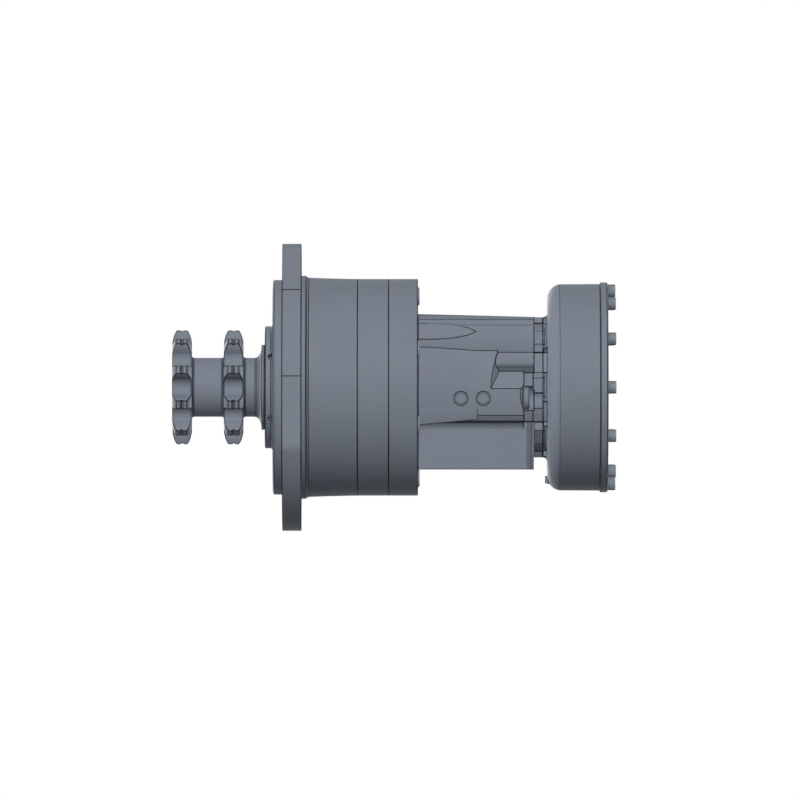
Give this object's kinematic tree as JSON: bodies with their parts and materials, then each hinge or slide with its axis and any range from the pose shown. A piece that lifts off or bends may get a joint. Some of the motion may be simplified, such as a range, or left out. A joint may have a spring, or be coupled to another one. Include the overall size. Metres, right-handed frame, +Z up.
{
  "type": "hydraulic drive motor",
  "caption": "Radial piston hydraulic motor with a two-ear mounting flange, a double chain sprocket shaft, a port casting and a spring-applied disc brake.",
  "frame": {"origin": "on the shaft axis in the plane of the mounting face, where the pilot spigot meets the flange", "axes": "+X along the shaft from the sprockets towards the brake, +Z up, the main ports face down (-Z) and the spool boss faces -Y"},
  "size_m": [0.4537, 0.2658, 0.2942],
  "materials": {
    "painted_casting": "smooth slate grey paint over cast iron",
    "shaft_steel": "slate grey machined steel",
    "screw_steel": "grey zinc flake",
    "ground_steel": "ground and oiled",
    "seal_rubber": "matte moulded",
    "cage_brass": "machined",
    "friction_lining": "sintered friction lining on steel"
  },
  "bodies": {
    "housing": {"front_housing": "painted_casting", "seal_carrier": "shaft_steel", "shaft_seal": "seal_rubber", "front_bearing_cup": "ground_steel", "rear_bearing_cup": "ground_steel", "cam_ring": "painted_casting", "cam_ring_seals": "seal_rubber", "rear_housing": "painted_casting", "body_screws": "screw_steel", "distributor": "ground_steel", "distributor_seals": "seal_rubber", "expander_plugs": "screw_steel", "spool_plug": "screw_steel", "spool_plug_seal": "seal_rubber", "spool_spring": "ground_steel", "brake_housing": "painted_casting", "brake_housing_screws": "screw_steel", "brake_shaft_seal": "seal_rubber", "steel_plates": "ground_steel", "brake_disc_spring": "ground_steel", "rear_cover": "painted_casting", "cover_seal": "seal_rubber", "cover_screws": "screw_steel"},
    "shaft": {"sprocket_shaft": "shaft_steel", "front_bearing_cone": "ground_steel", "rear_bearing_cone": "ground_steel", "bearing_locknut": "ground_steel", "cylinder_block": "ground_steel", "block_circlip": "ground_steel", "brake_shaft": "ground_steel", "friction_discs": "friction_lining"},
    "front_cage": {"front_bearing_cage": "cage_brass", "front_bearing_rollers": "ground_steel"},
    "rear_cage": {"rear_bearing_cage": "cage_brass", "rear_bearing_rollers": "ground_steel"},
    "brake_release_piston": {"brake_piston": "ground_steel", "brake_piston_seals": "seal_rubber"},
    "spool": {"speed_spool": "ground_steel"},
    "motor_piston_1": {"piston_1": "ground_steel"},
    "motor_roller_1": {"roller_1": "ground_steel"},
    "motor_piston_2": {"piston_2": "ground_steel"},
    "motor_roller_2": {"roller_2": "ground_steel"},
    "motor_piston_3": {"piston_3": "ground_steel"},
    "motor_roller_3": {"roller_3": "ground_steel"},
    "motor_piston_4": {"piston_4": "ground_steel"},
    "motor_roller_4": {"roller_4": "ground_steel"},
    "motor_piston_5": {"piston_5": "ground_steel"},
    "motor_roller_5": {"roller_5": "ground_steel"},
    "motor_piston_6": {"piston_6": "ground_steel"},
    "motor_roller_6": {"roller_6": "ground_steel"},
    "motor_piston_7": {"piston_7": "ground_steel"},
    "motor_roller_7": {"roller_7": "ground_steel"},
    "motor_piston_8": {"piston_8": "ground_steel"},
    "motor_roller_8": {"roller_8": "ground_steel"}
  },
  "joints": [
    {"name": "shaft_turn", "type": "hinge", "parent": "housing", "child": "shaft", "pos_m": [0, 0, 0], "axis": [1, 0, 0], "continuous": true},
    {"name": "front_cage_turn", "type": "hinge", "parent": "housing", "child": "front_cage", "pos_m": [0, 0, 0], "axis": [1, 0, 0], "continuous": true},
    {"name": "rear_cage_turn", "type": "hinge", "parent": "housing", "child": "rear_cage", "pos_m": [0, 0, 0], "axis": [1, 0, 0], "continuous": true},
    {"name": "brake_release", "type": "slide", "parent": "housing", "child": "brake_release_piston", "axis": [1, 0, 0], "range_m": [0, 0.002], "stiffness_N_per_m": 20000, "springref_m": -0.002, "deforming": ["brake_disc_spring"]},
    {"name": "spool_shift", "type": "slide", "parent": "housing", "child": "spool", "axis": [-1, 0, 0], "range_m": [0, 0.008], "stiffness_N_per_m": 1500, "springref_m": -0.002, "deforming": ["spool_spring"]},
    {"name": "piston_1_stroke", "type": "slide", "parent": "shaft", "child": "motor_piston_1", "axis": [0, -0.9914, -0.1305], "range_m": [0, 0.007]},
    {"name": "roller_1_spin", "type": "hinge", "parent": "motor_piston_1", "child": "motor_roller_1", "pos_m": [0.0928, -0.07277, -0.00958], "axis": [1, 0, 0], "continuous": true},
    {"name": "piston_2_stroke", "type": "slide", "parent": "shaft", "child": "motor_piston_2", "axis": [0, -0.6088, -0.7934], "range_m": [0, 0.007]},
    {"name": "roller_2_spin", "type": "hinge", "parent": "motor_piston_2", "child": "motor_roller_2", "pos_m": [0.0928, -0.04468, -0.05823], "axis": [1, 0, 0], "continuous": true},
    {"name": "piston_3_stroke", "type": "slide", "parent": "shaft", "child": "motor_piston_3", "axis": [0, 0.1305, -0.9914], "range_m": [0, 0.0014]},
    {"name": "roller_3_spin", "type": "hinge", "parent": "motor_piston_3", "child": "motor_roller_3", "pos_m": [0.0928, 0.00958, -0.07277], "axis": [1, 0, 0], "continuous": true},
    {"name": "piston_4_stroke", "type": "slide", "parent": "shaft", "child": "motor_piston_4", "axis": [0, 0.7934, -0.6088], "range_m": [0, 0.0014]},
    {"name": "roller_4_spin", "type": "hinge", "parent": "motor_piston_4", "child": "motor_roller_4", "pos_m": [0.0928, 0.05823, -0.04468], "axis": [1, 0, 0], "continuous": true},
    {"name": "piston_5_stroke", "type": "slide", "parent": "shaft", "child": "motor_piston_5", "axis": [0, 0.9914, 0.1305], "range_m": [0, 0.007]},
    {"name": "roller_5_spin", "type": "hinge", "parent": "motor_piston_5", "child": "motor_roller_5", "pos_m": [0.0928, 0.07277, 0.00958], "axis": [1, 0, 0], "continuous": true},
    {"name": "piston_6_stroke", "type": "slide", "parent": "shaft", "child": "motor_piston_6", "axis": [0, 0.6088, 0.7934], "range_m": [0, 0.007]},
    {"name": "roller_6_spin", "type": "hinge", "parent": "motor_piston_6", "child": "motor_roller_6", "pos_m": [0.0928, 0.04468, 0.05823], "axis": [1, 0, 0], "continuous": true},
    {"name": "piston_7_stroke", "type": "slide", "parent": "shaft", "child": "motor_piston_7", "axis": [0, -0.1305, 0.9914], "range_m": [0, 0.0014]},
    {"name": "roller_7_spin", "type": "hinge", "parent": "motor_piston_7", "child": "motor_roller_7", "pos_m": [0.0928, -0.00958, 0.07277], "axis": [1, 0, 0], "continuous": true},
    {"name": "piston_8_stroke", "type": "slide", "parent": "shaft", "child": "motor_piston_8", "axis": [0, -0.7934, 0.6088], "range_m": [0, 0.0014]},
    {"name": "roller_8_spin", "type": "hinge", "parent": "motor_piston_8", "child": "motor_roller_8", "pos_m": [0.0928, -0.05823, 0.04468], "axis": [1, 0, 0], "continuous": true}
  ],
  "couplings": [
    {"joint": "front_cage_turn", "follows": "shaft_turn", "ratio": 0.45272},
    {"joint": "rear_cage_turn", "follows": "shaft_turn", "ratio": 0.45272}
  ]
}
